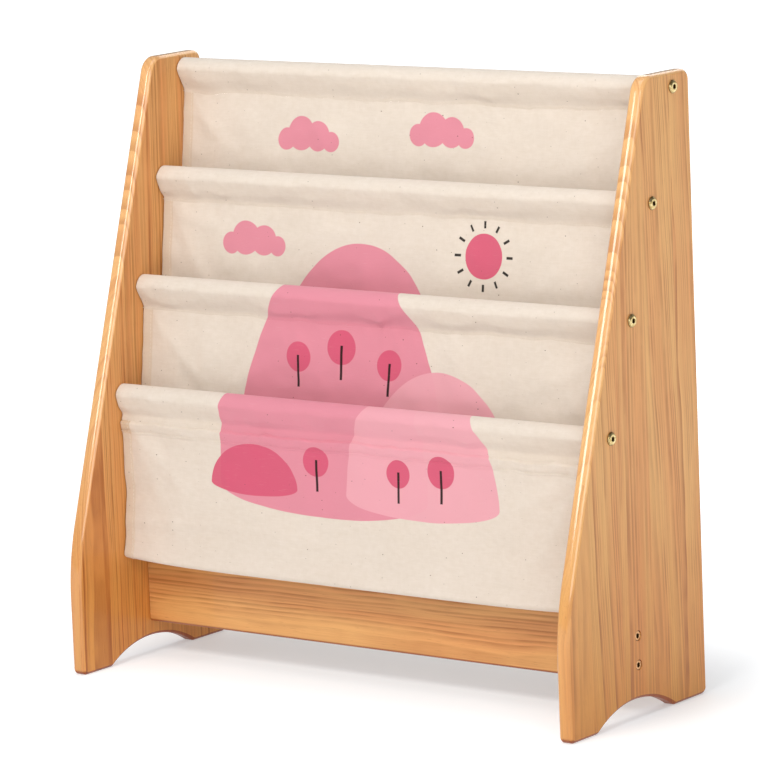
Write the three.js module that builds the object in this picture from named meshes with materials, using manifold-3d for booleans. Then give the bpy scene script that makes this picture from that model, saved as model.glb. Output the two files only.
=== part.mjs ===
// A four-tier sling bookshelf for a child's room: two pine side panels joined by four round
// rods and a low rail, with a length of canvas sewn round the rods so that it hangs in three
// book pockets between them. Millimetres, +Z up, the front towards -Y, the origin on the
// floor under the middle of the shelf.
import * as THREE from 'three';
import { mergeVertices } from 'three/addons/utils/BufferGeometryUtils.js';
import Module from 'manifold-3d';

// Overall size
const WIDTH = 610;
const DEPTH = 232;
const HEIGHT = 608;
const GAP = 0.3; // clearance kept between pieces that touch
const OVERCUT = 1; // how far a hole runs past the face that it opens
const BORE_SPARE = 2; // how much deeper a blind hole is than what goes into it

// Side panels
const BOARD = 15; // thickness
const EDGE_ROUND = 3; // rounding of every long edge
const TOP_FRONT_Y = 38; // where the sloping front edge would meet the top
const FRONT_SLOPE = 0.3126; // run over drop of the sloping front edge
const TOP_FRONT_ROUND = 19;
const TOP_BACK_ROUND = 10;
const KNEE_ROUND = 250; // where the slope turns into the upright toe
const TOE_ROUND = 7;
const ARCH_Y = -5; // middle of the cut-out between the feet
const ARCH_HALF_SPAN = 65;
const ARCH_RISE = 19.5;
const ARCH_FOOT_ROUND = 6;

// Rods and the hardware in their ends
const ROD_RADIUS = 8;
const TOP_ROD_Y = 86;
const TOP_ROD_Z = 593.5;
const ROD_STEP_Y = 40.4; // each rod is this much further forward than the one above it
const ROD_STEP_Z = 105.7;
const ROD_COUNT = 4;
const INSERT_RADIUS = 5;
const INSERT_LENGTH = 13;
const INSERT_SETBACK = 0.8; // how far the insert sits inside the rod's end
const BOLT_HEAD_RADIUS = 6.5;
const BOLT_HEAD_HEIGHT = 2.4;
const BOLT_HEAD_RIM = 0.7;
const BOLT_RADIUS = 2.9;
const BOLT_LENGTH = 40;
const HEX_ACROSS_FLATS = 4;
const HEX_DEPTH = 2;
const TIP_CHAMFER = 1;

// Bottom rail and its screws
const RAIL_THICKNESS = 18;
const RAIL_HEIGHT = 65;
const RAIL_BOTTOM_Z = 35;
const RAIL_ROUND = 4;
const RAIL_SCREW_HEIGHTS = [52.2, 80.5];
const SCREW_RADIUS = 2.1;
const SCREW_LENGTH = 44;
const SCREW_TIP = 5;
const SCREW_HEAD_RADIUS = 4.5;
const SCREW_HEAD_HEIGHT = 3.2;
const COUNTERBORE_RADIUS = 4.9;
const COUNTERBORE_DEPTH = 4.2;

// Canvas
const CLOTH = 1.2; // thickness
const CLOTH_HALF_WIDTH = 289;
const CASING_RADIUS = ROD_RADIUS + GAP + CLOTH; // outside of the canvas round a rod
const CASING_TAIL = 26; // from the rod's centre down to the seam that closes the casing
const TAIL_HALF = 1.4; // half the thickness of the two layers at the seam
const SEAM_HEIGHT = 3; // how far up from the seam the two layers are sewn together
const SLIT_HALF = 0.3; // half the hollow left between the layers just above that
const SLIT_HEIGHT = 1;
const FRONT_FLAP = 14; // the lowest casing's layers run on behind the lapped front panel
const FRONT_LAP_DROP = 1; // from the lowest casing's seam down to the front panel's top edge
const POCKET_DROP = 173; // from a rod's centre down to the bottom of the pocket it closes
const FOLD_RADIUS = 4.5; // half the width of the fold at a pocket's bottom
const FOLD_FORWARD = 5; // the fold hangs this much in front of the rod above it
const BACK_WALL_BOW = 3; // how far a back wall sags backwards
const FRONT_FLARE = 7.7; // how far the front wall leaves the fold in front of its hanging line
const FLARE_HEIGHT = 28;
const FLARE_CROWDING = 1.6; // draws the front wall's steps together towards the fold
const CORNER_LIFT = 5; // the hemmed corners of a fold ride this much higher
const CORNER_SHARPNESS = 6;
const WALL_RIPPLE = 1.1; // shallow standing folds across the width
const RIPPLE_COUNT = 2.5;

// Facets round each kind of round piece
const ROD_SIDES = 24;
const BOLT_SIDES = 20;
const HOLE_SIDES = 20;
const INSERT_SIDES = 16;
const PILOT_SIDES = 16;
const SCREW_SIDES = 14;

const wasm = await Module();
wasm.setup();

// A closed mesh as a solid that can be cut and joined
function toSolid(geometry) {
  const bare = geometry.clone();
  bare.deleteAttribute('normal');
  bare.deleteAttribute('uv');
  const merged = mergeVertices(bare, 1e-4);
  const mesh = new wasm.Mesh({
    numProp: 3,
    vertProperties: Float32Array.from(merged.attributes.position.array),
    triVerts: Uint32Array.from(merged.index.array),
  });
  return new wasm.Manifold(mesh);
}

function toGeometry(solid) {
  const mesh = solid.getMesh();
  const geometry = new THREE.BufferGeometry();
  geometry.setAttribute('position', new THREE.BufferAttribute(mesh.vertProperties, 3));
  geometry.setIndex(new THREE.BufferAttribute(mesh.triVerts, 1));
  geometry.computeVertexNormals();
  return geometry;
}

function cut(geometry, tools) {
  const solid = tools.reduce((rest, tool) => rest.subtract(toSolid(tool)), toSolid(geometry));
  return toGeometry(solid);
}

// Turns a shape drawn in depth and height, and extruded or spun, so that it lies along X
const ALONG_X = new THREE.Matrix4().makeBasis(
  new THREE.Vector3(0, 1, 0),
  new THREE.Vector3(0, 0, 1),
  new THREE.Vector3(1, 0, 0),
);

// A round bar or hole along X, between two places on it
function barAlongX(radius, fromX, toX, y, z, sides) {
  const bar = new THREE.CylinderGeometry(radius, radius, toX - fromX, sides);
  bar.rotateZ(Math.PI / 2);
  bar.translate((fromX + toX) / 2, y, z);
  return bar;
}

// A profile of [radius, distance] points spun round the X axis, pointing towards +X
function spunAlongX(profile, sides) {
  const points = profile.map(([radius, along]) => new THREE.Vector2(radius, along));
  const turned = new THREE.LatheGeometry(points, sides);
  turned.rotateZ(-Math.PI / 2);
  return turned;
}

// Runs the outline to a corner and rounds it
function roundedCorner(shape, before, corner, after, radius) {
  const back = before.clone().sub(corner).normalize();
  const ahead = after.clone().sub(corner).normalize();
  const halfAngle = Math.acos(back.dot(ahead)) / 2;
  const centre = back.clone().add(ahead).normalize()
    .multiplyScalar(radius / Math.sin(halfAngle)).add(corner);
  const reach = radius / Math.tan(halfAngle);
  const start = back.multiplyScalar(reach).add(corner).sub(centre);
  const end = ahead.multiplyScalar(reach).add(corner).sub(centre);
  const clockwise = start.cross(end) < 0;
  shape.absarc(centre.x, centre.y, radius, start.angle(), end.angle(), clockwise);
}

// The side panel's outline in depth and height, anticlockwise from the front foot
function panelOutline() {
  const front = -DEPTH / 2;
  const back = DEPTH / 2;
  const kneeZ = HEIGHT - (TOP_FRONT_Y - front) / FRONT_SLOPE;
  const toe = new THREE.Vector2(front, 0);
  const heel = new THREE.Vector2(back, 0);
  const topBack = new THREE.Vector2(back, HEIGHT);
  const topFront = new THREE.Vector2(TOP_FRONT_Y, HEIGHT);
  const knee = new THREE.Vector2(front, kneeZ);

  // the cut-out is a circular arc that its feet meet in a small rounding
  const archRadius = (ARCH_HALF_SPAN ** 2 + ARCH_RISE ** 2) / (2 * ARCH_RISE);
  const archCentreZ = ARCH_RISE - archRadius;
  const footRise = ARCH_FOOT_ROUND - archCentreZ;
  const footOut = Math.sqrt((archRadius + ARCH_FOOT_ROUND) ** 2 - footRise ** 2);
  const lean = Math.atan2(footRise, footOut);

  const shape = new THREE.Shape();
  roundedCorner(shape, knee, toe, heel, TOE_ROUND);
  shape.absarc(ARCH_Y - footOut, ARCH_FOOT_ROUND, ARCH_FOOT_ROUND, -Math.PI / 2, -lean, false);
  shape.absarc(ARCH_Y, archCentreZ, archRadius, Math.PI - lean, lean, true);
  shape.absarc(
    ARCH_Y + footOut, ARCH_FOOT_ROUND, ARCH_FOOT_ROUND, lean - Math.PI, -Math.PI / 2, false,
  );
  roundedCorner(shape, toe, heel, topBack, TOE_ROUND);
  roundedCorner(shape, heel, topBack, topFront, TOP_BACK_ROUND);
  roundedCorner(shape, topBack, topFront, knee, TOP_FRONT_ROUND);
  roundedCorner(shape, topFront, knee, toe, KNEE_ROUND);
  shape.closePath();
  return shape;
}

function rodPlace(index) {
  return { y: TOP_ROD_Y - index * ROD_STEP_Y, z: TOP_ROD_Z - index * ROD_STEP_Z };
}

// One side panel, on the +X side or the -X side, with its bolt holes and screw holes
function sidePanel(side) {
  const board = new THREE.ExtrudeGeometry(panelOutline(), {
    depth: BOARD - 2 * EDGE_ROUND,
    bevelThickness: EDGE_ROUND,
    bevelSize: EDGE_ROUND,
    bevelOffset: -EDGE_ROUND,
    bevelSegments: 3,
    curveSegments: 4,
  });
  board.translate(0, 0, EDGE_ROUND);
  board.applyMatrix4(ALONG_X);
  board.translate(side > 0 ? WIDTH / 2 - BOARD : -WIDTH / 2, 0, 0);

  const outer = side * WIDTH / 2;
  const inner = side * (WIDTH / 2 - BOARD);
  const sink = outer - side * COUNTERBORE_DEPTH;
  const past = side * OVERCUT;
  const hole = (radius, a, b, y, z) => (
    barAlongX(radius, Math.min(a, b), Math.max(a, b), y, z, HOLE_SIDES)
  );
  const holes = [];
  for (let index = 0; index < ROD_COUNT; index += 1) {
    const { y, z } = rodPlace(index);
    holes.push(hole(BOLT_RADIUS + GAP, inner - past, outer + past, y, z));
  }
  for (const z of RAIL_SCREW_HEIGHTS) {
    holes.push(hole(SCREW_RADIUS + GAP, inner - past, outer, 0, z));
    holes.push(hole(COUNTERBORE_RADIUS, sink, outer + past, 0, z));
  }
  return cut(board, holes);
}

// The rail: a board on edge with rounded arrises and a pilot hole for each screw
function bottomRail() {
  const half = RAIL_THICKNESS / 2;
  const corners = [[-half, 0], [half, 0], [half, RAIL_HEIGHT], [-half, RAIL_HEIGHT]]
    .map(([y, z]) => new THREE.Vector2(y, z + RAIL_BOTTOM_Z));
  const shape = new THREE.Shape();
  corners.forEach((corner, index) => {
    const before = corners[(index + 3) % 4];
    const after = corners[(index + 1) % 4];
    roundedCorner(shape, before, corner, after, RAIL_ROUND);
  });
  shape.closePath();
  const halfLength = WIDTH / 2 - BOARD - GAP;
  const board = new THREE.ExtrudeGeometry(shape, {
    depth: 2 * halfLength,
    bevelEnabled: false,
    curveSegments: 3,
  });
  board.applyMatrix4(ALONG_X);
  board.translate(-halfLength, 0, 0);

  const reach = WIDTH / 2 - COUNTERBORE_DEPTH - SCREW_LENGTH - BORE_SPARE;
  const pilots = [];
  for (const side of [-1, 1]) {
    const ends = [side * reach, side * (halfLength + OVERCUT)];
    const from = Math.min(...ends);
    const to = Math.max(...ends);
    for (const z of RAIL_SCREW_HEIGHTS) {
      pilots.push(barAlongX(SCREW_RADIUS + GAP, from, to, 0, z, PILOT_SIDES));
    }
  }
  return cut(board, pilots);
}

// A rod with a stepped bore in each end: a wide one for the insert, a narrow one for the bolt
function rod() {
  const end = WIDTH / 2 - BOARD - GAP;
  const seat = end - INSERT_SETBACK - INSERT_LENGTH - GAP;
  const bottom = WIDTH / 2 - BOLT_LENGTH - BORE_SPARE;
  const profile = [
    [0, -bottom],
    [BOLT_RADIUS + GAP, -bottom],
    [BOLT_RADIUS + GAP, -seat],
    [INSERT_RADIUS + GAP, -seat],
    [INSERT_RADIUS + GAP, -end],
    [ROD_RADIUS, -end],
    [ROD_RADIUS, end],
    [INSERT_RADIUS + GAP, end],
    [INSERT_RADIUS + GAP, seat],
    [BOLT_RADIUS + GAP, seat],
    [BOLT_RADIUS + GAP, bottom],
    [0, bottom],
  ];
  return spunAlongX(profile, ROD_SIDES);
}

// The threaded insert, a plain sleeve whose near face sits at the origin, running towards -X
function insertNut() {
  const bore = BOLT_RADIUS + GAP;
  const profile = [
    [bore, -INSERT_LENGTH],
    [INSERT_RADIUS, -INSERT_LENGTH],
    [INSERT_RADIUS, 0],
    [bore, 0],
    [bore, -INSERT_LENGTH],
  ];
  return spunAlongX(profile, INSERT_SIDES);
}

// The six-sided hole for a key, sunk into a head whose top is this far along
function hexSocket(top) {
  const corner = HEX_ACROSS_FLATS / Math.sqrt(3);
  return barAlongX(corner, top - HEX_DEPTH, top + OVERCUT, 0, 0, 6);
}

// A bolt whose head rests at the origin: a low dome with a hex socket, shank towards -X
function rodBolt() {
  const dome = [];
  const steps = 4;
  for (let step = 0; step <= steps; step += 1) {
    const turn = (step / steps) * (Math.PI / 2);
    dome.push([
      BOLT_HEAD_RADIUS * Math.cos(turn),
      BOLT_HEAD_RIM + (BOLT_HEAD_HEIGHT - BOLT_HEAD_RIM) * Math.sin(turn),
    ]);
  }
  dome[steps][0] = 0;
  const profile = [
    [0, -BOLT_LENGTH],
    [BOLT_RADIUS - TIP_CHAMFER, -BOLT_LENGTH],
    [BOLT_RADIUS, TIP_CHAMFER - BOLT_LENGTH],
    [BOLT_RADIUS, 0],
    [BOLT_HEAD_RADIUS, 0],
    ...dome,
  ];
  return cut(spunAlongX(profile, BOLT_SIDES), [hexSocket(BOLT_HEAD_HEIGHT)]);
}

// A rail screw whose head rests at the origin, with its point towards -X
function railScrew() {
  const profile = [
    [0, -SCREW_LENGTH],
    [SCREW_RADIUS, -SCREW_LENGTH + SCREW_TIP],
    [SCREW_RADIUS, 0],
    [SCREW_HEAD_RADIUS, 0],
    [SCREW_HEAD_RADIUS, SCREW_HEAD_HEIGHT],
    [0, SCREW_HEAD_HEIGHT],
  ];
  return cut(spunAlongX(profile, SCREW_SIDES), [hexSocket(SCREW_HEAD_HEIGHT)]);
}

// A closed sheet of cloth between two skins. sectionAt(x) gives the section there as two lists
// of [y, z] points, one for each skin; a ring's lists run round on themselves.
function clothSolid(sectionAt, stations, isRing) {
  const sections = stations.map((x) => ({ x, ...sectionAt(x) }));
  const count = sections[0].skinA.length;
  const positions = [];
  for (const { x, skinA, skinB } of sections) {
    for (const [y, z] of [...skinA, ...skinB]) {
      positions.push(x, y, z);
    }
  }
  const indexA = (station, point) => station * 2 * count + (point % count);
  const indexB = (station, point) => indexA(station, point) + count;
  const triangles = [];
  const quad = (a, b, c, d) => triangles.push(a, b, c, a, c, d);
  const last = stations.length - 1;
  const spans = isRing ? count : count - 1;
  for (let station = 0; station < last; station += 1) {
    const next = station + 1;
    for (let point = 0; point < spans; point += 1) {
      quad(
        indexA(station, point), indexA(station, point + 1),
        indexA(next, point + 1), indexA(next, point),
      );
      quad(
        indexB(station, point), indexB(next, point),
        indexB(next, point + 1), indexB(station, point + 1),
      );
    }
    if (!isRing) {
      quad(indexA(station, 0), indexA(next, 0), indexB(next, 0), indexB(station, 0));
      quad(
        indexA(station, count - 1), indexB(station, count - 1),
        indexB(next, count - 1), indexA(next, count - 1),
      );
    }
  }
  for (let point = 0; point < spans; point += 1) {
    quad(indexA(0, point), indexB(0, point), indexB(0, point + 1), indexA(0, point + 1));
    quad(
      indexA(last, point), indexA(last, point + 1),
      indexB(last, point + 1), indexB(last, point),
    );
  }
  const geometry = new THREE.BufferGeometry();
  geometry.setAttribute('position', new THREE.Float32BufferAttribute(positions, 3));
  geometry.setIndex(triangles);
  geometry.computeVertexNormals();
  return geometry;
}

function stationsAcross(count) {
  return Array.from({ length: count + 1 }, (_, index) => (
    CLOTH_HALF_WIDTH * (2 * index / count - 1)
  ));
}

// A casing's section round a rod at the origin: a circle drawn down in a teardrop to two walls,
// which run on straight down, side by side, to the tail's end
function teardrop(radius, tail, halfTail, straight) {
  const steps = 12;
  const lean = Math.acos(radius / (tail - straight));
  const points = [[halfTail, -tail], [halfTail, straight - tail]];
  for (let step = 0; step <= steps; step += 1) {
    const turn = lean - Math.PI / 2 + (step / steps) * 2 * (Math.PI - lean);
    points.push([radius * Math.cos(turn), radius * Math.sin(turn)]);
  }
  points.push([-halfTail, straight - tail], [-halfTail, -tail]);
  return points;
}

function casing(index) {
  const { y: rodY, z: rodZ } = rodPlace(index);
  const place = ([y, z]) => [rodY + y, rodZ + z];
  // the lowest casing ends in a flap that the front panel is sewn to
  const flap = index === ROD_COUNT - 1 ? FRONT_FLAP : 0;
  const hollowTail = CASING_TAIL - SEAM_HEIGHT;
  const outer = teardrop(CASING_RADIUS, CASING_TAIL + flap, TAIL_HALF, SEAM_HEIGHT + flap);
  const inner = teardrop(CASING_RADIUS - CLOTH, hollowTail, SLIT_HALF, SLIT_HEIGHT);
  const section = { skinA: outer.map(place), skinB: inner.map(place) };
  return clothSolid(() => section, stationsAcross(4), true);
}

// Spreads a centre line of [y, z] points into the two skins of a sheet
function thicken(line, thickness) {
  const skinA = [];
  const skinB = [];
  line.forEach((point, index) => {
    const from = line[Math.max(index - 1, 0)];
    const to = line[Math.min(index + 1, line.length - 1)];
    const length = Math.hypot(to[0] - from[0], to[1] - from[1]);
    const acrossY = (to[1] - from[1]) / length * thickness / 2;
    const acrossZ = -(to[0] - from[0]) / length * thickness / 2;
    skinA.push([point[0] + acrossY, point[1] + acrossZ]);
    skinB.push([point[0] - acrossY, point[1] - acrossZ]);
  });
  return { skinA, skinB };
}

// A pocket's centre line at one place across the width: down the back wall from the casing
// above, round the fold, and up the front wall to the casing below
function pocketLine(index, x) {
  const upper = rodPlace(index);
  const lower = rodPlace(index + 1);
  const isFront = index === ROD_COUNT - 2;
  const across = x / CLOTH_HALF_WIDTH;
  const lift = CORNER_LIFT * Math.abs(across) ** CORNER_SHARPNESS;
  const ripple = WALL_RIPPLE * Math.cos(RIPPLE_COUNT * Math.PI * across + index);

  const foldY = lower.y - FOLD_FORWARD;
  const foldZ = lower.z - POCKET_DROP + FOLD_RADIUS + CLOTH / 2 + lift;
  const backTop = [upper.y - (CLOTH + GAP) / 2, upper.z - CASING_TAIL - GAP];
  const backFoot = [foldY + FOLD_RADIUS, foldZ];
  // the lowest pocket's front wall laps over the casing's flap, the others stop under the seam
  const frontTopY = isFront ? lower.y - TAIL_HALF - GAP - CLOTH / 2 : lower.y + (CLOTH + GAP) / 2;
  const frontTopZ = lower.z - CASING_TAIL - (isFront ? FRONT_LAP_DROP : GAP);

  const line = [];
  const wallSteps = 6;
  for (let step = 0; step < wallSteps; step += 1) {
    const down = step / wallSteps;
    const sag = Math.sin(Math.PI * down);
    line.push([
      THREE.MathUtils.lerp(backTop[0], backFoot[0], down) + (BACK_WALL_BOW + ripple) * sag,
      THREE.MathUtils.lerp(backTop[1], backFoot[1], down),
    ]);
  }
  const foldSteps = 6;
  for (let step = 0; step < foldSteps; step += 1) {
    const turn = -Math.PI * step / foldSteps;
    line.push([foldY + FOLD_RADIUS * Math.cos(turn), foldZ + FOLD_RADIUS * Math.sin(turn)]);
  }
  // the front wall flares into the fold, so its steps are close together at the bottom
  const wallHeight = frontTopZ - foldZ;
  for (let step = 0; step <= wallSteps; step += 1) {
    const up = (step / wallSteps) ** FLARE_CROWDING;
    const flare = Math.exp(-wallHeight * up / FLARE_HEIGHT);
    const hangY = THREE.MathUtils.lerp(foldY - FOLD_RADIUS + FRONT_FLARE, frontTopY, up);
    line.push([
      hangY - FRONT_FLARE * flare + ripple * Math.sin(Math.PI * up),
      foldZ + wallHeight * up,
    ]);
  }
  return line;
}

function pocket(index) {
  return clothSolid((x) => thicken(pocketLine(index, x), CLOTH), stationsAcross(14), false);
}

const pine = { color: 0xd4a06a, roughness: 0.35, metalness: 0 };
const canvas = { color: 0xeee2d2, roughness: 0.95, metalness: 0 };
const zinc = { color: 0xc9bf94, roughness: 0.3, metalness: 1 };
const bronzedSteel = { color: 0xb08d62, roughness: 0.4, metalness: 1 };

const bookshelf = new THREE.Group();

function add(name, geometry, finish, parent = bookshelf) {
  const mesh = new THREE.Mesh(geometry, new THREE.MeshStandardMaterial(finish));
  mesh.name = name;
  parent.add(mesh);
  return mesh;
}

add('side_panel_left', sidePanel(-1), pine);
add('side_panel_right', sidePanel(1), pine);
add('bottom_rail', bottomRail(), pine);

for (let index = 0; index < ROD_COUNT; index += 1) {
  const { y, z } = rodPlace(index);
  add(`rod_${index + 1}`, rod(), pine).position.set(0, y, z);
  add(`sling_casing_${index + 1}`, casing(index), canvas);
}

for (let index = 0; index < ROD_COUNT - 1; index += 1) {
  add(`sling_pocket_${index + 1}`, pocket(index), canvas);
}

// Each side's hardware is made for the +X side; on the -X side its group is turned half round
for (const [sideName, turn] of [['right', 0], ['left', Math.PI]]) {
  const hardware = new THREE.Group();
  hardware.rotation.z = turn;
  bookshelf.add(hardware);
  const facing = turn === 0 ? 1 : -1;
  for (let index = 0; index < ROD_COUNT; index += 1) {
    const { y, z } = rodPlace(index);
    const tier = index + 1;
    add(`rod_bolt_${sideName}_${tier}`, rodBolt(), zinc, hardware)
      .position.set(WIDTH / 2 + GAP, facing * y, z);
    add(`insert_nut_${sideName}_${tier}`, insertNut(), zinc, hardware)
      .position.set(WIDTH / 2 - BOARD - GAP - INSERT_SETBACK, facing * y, z);
  }
  RAIL_SCREW_HEIGHTS.forEach((z, index) => {
    const place = index === 0 ? 'lower' : 'upper';
    add(`rail_screw_${sideName}_${place}`, railScrew(), bronzedSteel, hardware)
      .position.set(WIDTH / 2 - COUNTERBORE_DEPTH + GAP, 0, z);
  });
}

export default bookshelf;
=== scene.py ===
from functools import partialmethod, reduce
import math

import bmesh
import bpy
import numpy as np
from mathutils import Matrix, Vector, noise


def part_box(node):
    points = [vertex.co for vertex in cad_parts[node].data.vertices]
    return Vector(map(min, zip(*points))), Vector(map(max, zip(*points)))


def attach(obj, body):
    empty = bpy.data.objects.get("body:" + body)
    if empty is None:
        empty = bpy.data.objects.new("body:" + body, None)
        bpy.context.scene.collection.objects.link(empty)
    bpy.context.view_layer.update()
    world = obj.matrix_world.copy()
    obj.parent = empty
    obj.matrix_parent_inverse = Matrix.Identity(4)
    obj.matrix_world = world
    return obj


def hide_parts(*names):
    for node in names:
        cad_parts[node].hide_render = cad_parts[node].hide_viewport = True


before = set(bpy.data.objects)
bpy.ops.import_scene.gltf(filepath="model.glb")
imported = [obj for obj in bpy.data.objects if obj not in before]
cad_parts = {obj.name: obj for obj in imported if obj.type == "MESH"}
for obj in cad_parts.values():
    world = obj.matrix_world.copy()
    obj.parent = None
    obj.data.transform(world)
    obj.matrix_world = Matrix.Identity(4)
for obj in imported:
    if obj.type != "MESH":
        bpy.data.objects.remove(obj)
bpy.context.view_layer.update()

MM = 0.001

# Places and sizes read from the frame
PANEL_LOW, PANEL_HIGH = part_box("side_panel_right")
RAIL_LOW, RAIL_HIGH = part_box("bottom_rail")
HALF_WIDTH = PANEL_HIGH.x
BOARD = PANEL_HIGH.x - PANEL_LOW.x
FRONT = PANEL_LOW.y
BACK = PANEL_HIGH.y
HEIGHT = PANEL_HIGH.z
TIERS = (1, 2, 3, 4)
POCKETS = (1, 2, 3)
LAST_TIER = TIERS[-1]
LAST_POCKET = POCKETS[-1]
SIDES = {"left": -1, "right": 1}
RAIL_SCREWS = ("lower", "upper")


def middle(node):
    """The middle of a node's box."""
    low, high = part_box(node)
    return (low + high) / 2


RODS = {tier: middle(f"rod_{tier}") for tier in TIERS}
CLOTH_HALF_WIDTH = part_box("sling_pocket_1")[1].x
CASING_TAIL = RODS[1].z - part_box("sling_casing_1")[0].z
FRONT_FLAP = RODS[LAST_TIER].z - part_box(f"sling_casing_{LAST_TIER}")[0].z - CASING_TAIL
POCKET_DROP = RODS[2].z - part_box("sling_pocket_1")[0].z

# Side panels
EDGE_ROUND = 3 * MM
EDGE_FLATNESS = 1.6  # 1 gives a round edge, 2 a flat bevel
EDGE_CROWN = 0.25 * MM
EDGE_STEPS = 9
CROWN_STEPS = 5
TOP_FRONT_Y = 38 * MM
FRONT_SLOPE = 0.3126
TOP_FRONT_ROUND = 19 * MM
TOP_BACK_ROUND = 10 * MM
KNEE_ROUND = 250 * MM
TOE_ROUND = 7 * MM
ARCH_Y = -5 * MM
ARCH_HALF_SPAN = 65 * MM
ARCH_RISE = 19.5 * MM
ARCH_FOOT_ROUND = 6 * MM
STAVE_WIDTH = 52 * MM
STAVE_JOINT_Y = 27 * MM

# Rail, bolts and screws
RAIL_ROUND = 4 * MM
BOLT_HOLE = 3.2 * MM  # holes are given by radius
SCREW_HOLE = 2.4 * MM
COUNTERBORE = 4.9 * MM
COUNTERBORE_DEPTH = 4.2 * MM
EASING = 0.35 * MM
HEX_ACROSS_FLATS = 4.4 * MM
HEX_DEPTH = 3 * MM
HEX_CHAMFER = 1.12
HEX_CHAMFER_DEPTH = 0.25 * MM
DRILL_POINT = 0.5 * MM
DRILL_POINT_RADIUS = 0.3 * MM
ROUND_SIDES = 48

# Canvas
CLOTH = 1.2 * MM
LAYER_GAP = 0.3 * MM
SEAM_GAP = 0.08 * MM
CASING_MIDDLE_RADIUS = 8.9 * MM  # from a rod's centre to the middle of the cloth round it
TAIL_HALF = 1.4 * MM
SEAM_HEIGHT = 3 * MM
SEAM_SWAY = 1.1 * MM
SEAM_RISE = 1.2 * MM
FRONT_LAP_DROP = 1 * MM
FOLD_RADIUS = 4.5 * MM
FOLD_PINCH = 0.6  # 1 gives a round fold, less a squarer one
FOLD_FORWARD = 5 * MM
BACK_WALL_BOW = 3 * MM
FRONT_FLARE = 7.7 * MM
FLARE_HEIGHT = 28 * MM
FLARE_CROWDING = 1.6
CORNER_LIFT = 5 * MM
CORNER_SHARPNESS = 6
WALL_RIPPLE = 1.1 * MM
RIPPLE_COUNT = 2.5
SIDE_HEM = 12 * MM
HEM_SEAM = 9.5 * MM
HEM_SWELL = 0.4 * MM
HEM_COLUMNS = MM * np.array([0, 0.35, 0.9, 2, 4.5, 7, 9.5, 10.4, 11, 11.6, 12.3, 13, 15, 18])
STATION_PITCH = 3.4 * MM
LAP_HEM = 13 * MM
LAP_SEAM = LAP_HEM - 1.8 * MM
LAP_LIP = 2.4 * MM
LAP_STAND = 2.6 * MM
LAP_STAND_FADE = 15 * MM
LAP_ROWS = MM * np.array([
    24, 21, 18.5, 16.5, 15, 14, 13.3, 12.7, 12.1, 11.4, 10.7, 9.8, 8.4, 6.8, 5.2, 4, 3.1, 2.4,
    1.7, 1.1, 0.5, 0,
])
STITCH_PITCH = 3.9 * MM
STITCH_LENGTH = 2.9 * MM
STITCH_UNEVENNESS = (0.88, 1.08)
THREAD_RADIUS = 0.32 * MM

# Slack in a casing, fullest at its droop below the rod
SLEEVE_DROOP = 11 * MM
DROOP_WANDER = 4 * MM
SLEEVE_BELLY = 1.7 * MM
SLEEVE_SLACK = 1.5 * MM
SLEEVE_PLEATS = 0.8 * MM
SLEEVE_PUCKERS = 0.7 * MM

# Creases in a pocket's walls. A pull at a top corner is its side, its slope and its height in mm.
WALL_FOLDS = 1.1 * MM
SMALL_CREASES = 0.3 * MM
TOP_GATHERS = 0.5 * MM
CORNER_PULLS = ((-1, 0.62, 1.5), (-1, 1.5, 1.0), (1, 0.8, 0.9), (1, 1.7, 0.8))
PULL_HALF_WIDTH = 8 * MM
PULL_INSET = 10 * MM
FRONT_CREASE = 0.9 * MM
FRONT_CREASE_DROP = 104 * MM
FRONT_CREASE_HALF_WIDTH = 6 * MM

# Camera, at the photographed view
CAMERA_TARGET = Vector((0, 0, 0.3))
CAMERA_ANGLES = (37.21, 9.912, -2.333)  # round to the right, down, and rolled
CAMERA_DISTANCE = 4.62894
CAMERA_SLIDE = Vector((12.012 * MM, 0.539 * MM))
CAMERA_LENS = 222.05


def place_camera():
    """Looks at the shelf from its front right, a little above it."""
    turn, dip, roll = (math.radians(angle) for angle in CAMERA_ANGLES)
    level = math.cos(dip)
    forward = Vector((-math.sin(turn) * level, math.cos(turn) * level, -math.sin(dip)))
    level_right = Vector((math.cos(turn), math.sin(turn), 0))
    level_up = level_right.cross(forward)
    right = level_right * math.cos(roll) + level_up * math.sin(roll)
    up = level_up * math.cos(roll) - level_right * math.sin(roll)
    slide = right * CAMERA_SLIDE.x + up * CAMERA_SLIDE.y
    place = CAMERA_TARGET - forward * CAMERA_DISTANCE + slide
    data = bpy.data.cameras.new("view")
    data.lens = CAMERA_LENS
    camera = bpy.data.objects.new("view", data)
    axes = Matrix((right, up, -forward)).transposed().to_4x4()
    camera.matrix_world = Matrix.Translation(place) @ axes
    bpy.context.scene.collection.objects.link(camera)
    bpy.context.scene.camera = camera


place_camera()


# Shader arithmetic

def light_share(level):
    """The share of light that a web colour's level from 0 to 1 stands for."""
    return level / 12.92 if level <= 0.04045 else ((level + 0.055) / 1.055) ** 2.4


def colour(code):
    """A linear colour from a web colour code."""
    return (*(light_share(int(code[place:place + 2], 16) / 255) for place in (0, 2, 4)), 1)


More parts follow.
